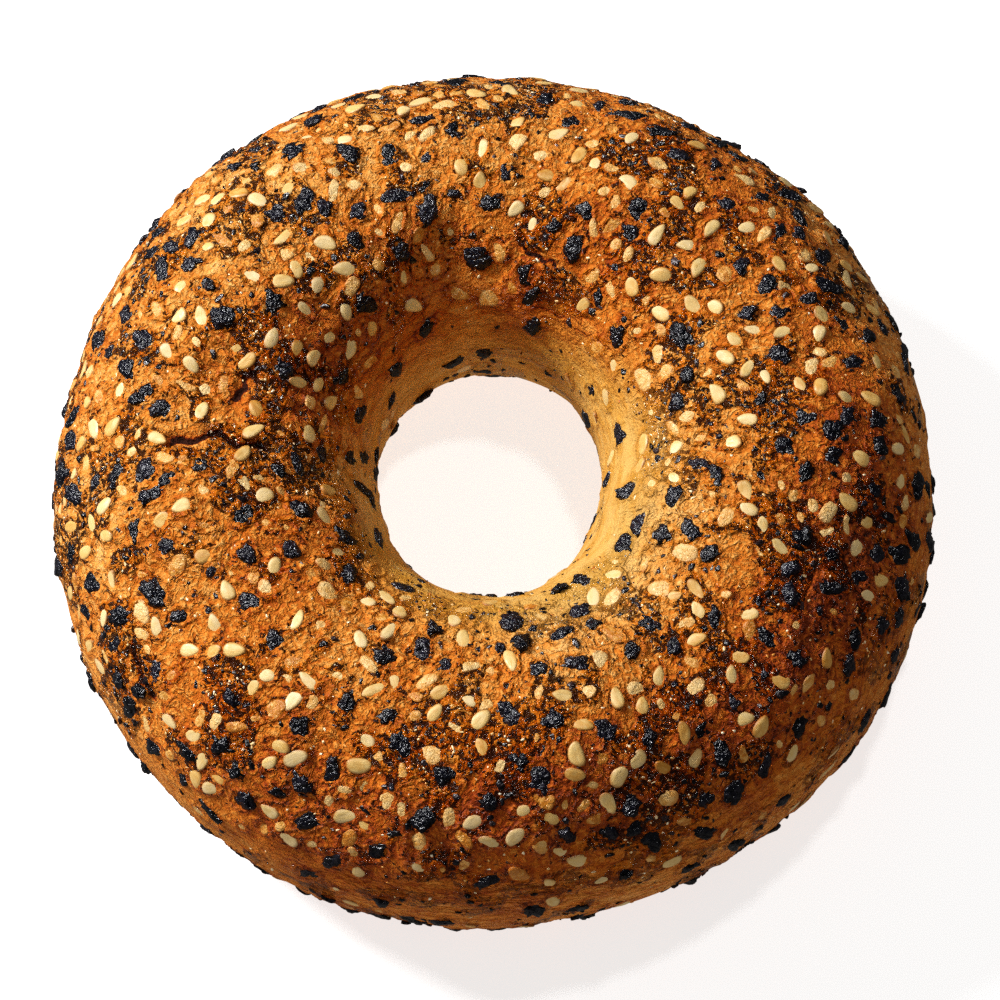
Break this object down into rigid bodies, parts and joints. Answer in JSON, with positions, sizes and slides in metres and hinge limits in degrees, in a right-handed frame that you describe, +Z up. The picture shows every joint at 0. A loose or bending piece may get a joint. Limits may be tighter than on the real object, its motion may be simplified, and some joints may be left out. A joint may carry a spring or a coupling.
{
  "type": "bagel",
  "caption": "Round seeded bagel, whole and uncut: a baked bread ring with a hole through it and a topping of mixed seeds on its crown.",
  "frame": {"origin": "middle of the flat underside that the bagel rests on", "axes": "+Z up through the hole, +X to the right and +Y away from the eater"},
  "size_m": [0.1107, 0.111, 0.0373],
  "materials": {
    "crust": "baked crust, golden brown, dull with a faint egg-wash sheen",
    "sesame": "hulled sesame seed, cream to toasted tan, satin",
    "black_seed": "black seed, blue-black, satin with small highlights",
    "poppy": "poppy seed, charcoal, satin",
    "flake": "dried onion flake, toasted tan, slightly glossy"
  },
  "bodies": {
    "root": {"bagel": "crust"}
  },
  "joints": []
}
